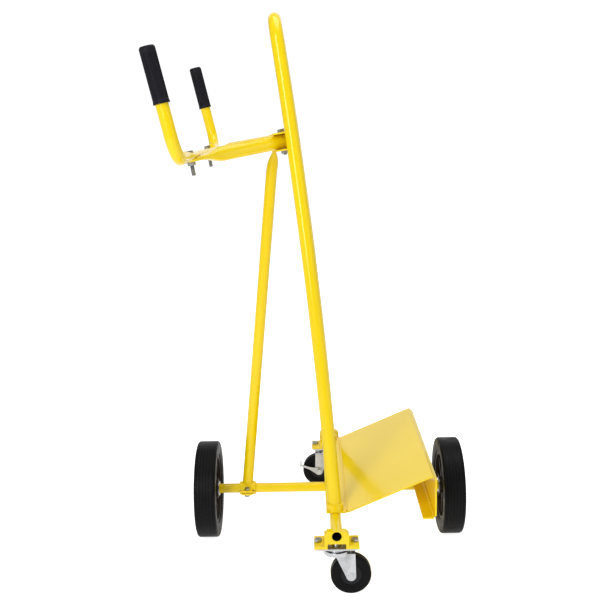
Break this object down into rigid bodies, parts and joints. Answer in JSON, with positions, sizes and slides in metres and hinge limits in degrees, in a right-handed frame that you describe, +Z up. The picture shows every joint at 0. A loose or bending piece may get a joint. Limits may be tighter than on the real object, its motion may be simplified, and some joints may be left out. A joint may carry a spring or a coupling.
{
  "type": "wheel dolly",
  "caption": "Wheeled dolly with a tall tube hoop, a sloped sheet tray, a low raised-end handlebar and swivel casters.",
  "frame": {"origin": "on the floor, at the middle of the whole dolly's bounding box seen from above", "axes": "+Z up; +X from the handlebar towards the tray; +Y along the base tube towards the far caster"},
  "size_m": [0.5794, 0.668, 1.069],
  "materials": {
    "yellow": "glossy yellow powder coat",
    "zinc": "bright zinc plate",
    "yellow_zinc": "yellow zinc plate",
    "tyre_rubber": "black solid rubber",
    "caster_rubber": "black rubber",
    "grip_rubber": "black ribbed rubber",
    "hub_plastic": "dark grey moulded plastic",
    "core_plastic": "black moulded plastic"
  },
  "bodies": {
    "frame": {"hoop": "yellow", "leg_collars": "yellow", "base_tube": "yellow", "axle_tube": "yellow", "axle_rod": "zinc", "tray": "yellow", "tray_rest": "yellow", "cross_channel": "yellow", "arm_near": "yellow", "arm_far": "yellow", "arm_bolts": "zinc", "arm_nuts": "zinc", "handlebar": "yellow", "handlebar_bolts": "zinc", "handlebar_nuts": "zinc", "grip_near": "grip_rubber", "grip_far": "grip_rubber", "brace": "yellow", "brace_bolt": "zinc", "brace_nut": "zinc", "brace_clamp_upper": "yellow", "brace_clamp_lower": "yellow", "clamp_bolts": "zinc", "clamp_nuts": "zinc", "saddle_near": "yellow", "saddle_far": "yellow", "axle_washers": "zinc", "cotter_pins": "zinc", "caster_plate_near": "zinc", "caster_plate_far": "zinc", "caster_bolts": "yellow_zinc", "caster_nuts": "yellow_zinc", "kingpin_near": "zinc", "kingpin_far": "zinc"},
    "wheel_left": {"tyre_left": "tyre_rubber", "hub_left": "hub_plastic", "bush_left": "zinc"},
    "wheel_right": {"tyre_right": "tyre_rubber", "hub_right": "hub_plastic", "bush_right": "zinc"},
    "caster_near": {"fork_near": "zinc", "caster_balls_near": "zinc", "caster_pin_near": "zinc"},
    "caster_far": {"fork_far": "zinc", "caster_balls_far": "zinc", "caster_pin_far": "zinc"},
    "caster_wheel_near": {"caster_tyre_near": "caster_rubber", "caster_hub_near": "core_plastic"},
    "caster_wheel_far": {"caster_tyre_far": "caster_rubber", "caster_hub_far": "core_plastic"},
    "brake": {"brake_lever": "zinc"}
  },
  "joints": [
    {"name": "left_wheel_spin", "type": "hinge", "parent": "frame", "child": "wheel_left", "pos_m": [-0.24532, 0, 0.1], "axis": [1, 0, 0], "continuous": true},
    {"name": "right_wheel_spin", "type": "hinge", "parent": "frame", "child": "wheel_right", "pos_m": [0.26268, 0, 0.1], "axis": [1, 0, 0], "continuous": true},
    {"name": "near_caster_swivel", "type": "hinge", "parent": "frame", "child": "caster_near", "pos_m": [0.01668, -0.254, 0.09], "axis": [0, 0, 1], "continuous": true},
    {"name": "far_caster_swivel", "type": "hinge", "parent": "frame", "child": "caster_far", "pos_m": [0.01668, 0.254, 0.09], "axis": [0, 0, 1], "continuous": true},
    {"name": "near_caster_roll", "type": "hinge", "parent": "caster_near", "child": "caster_wheel_near", "pos_m": [0.04268, -0.254, 0.038], "axis": [0, 1, 0], "continuous": true},
    {"name": "far_caster_roll", "type": "hinge", "parent": "caster_far", "child": "caster_wheel_far", "pos_m": [-0.00932, 0.254, 0.038], "axis": [0, 1, 0], "continuous": true},
    {"name": "brake_lever", "type": "hinge", "parent": "caster_far", "child": "brake", "pos_m": [-0.00932, 0.236, 0.038], "axis": [0, -1, 0], "range_deg": [0, 22]}
  ]
}
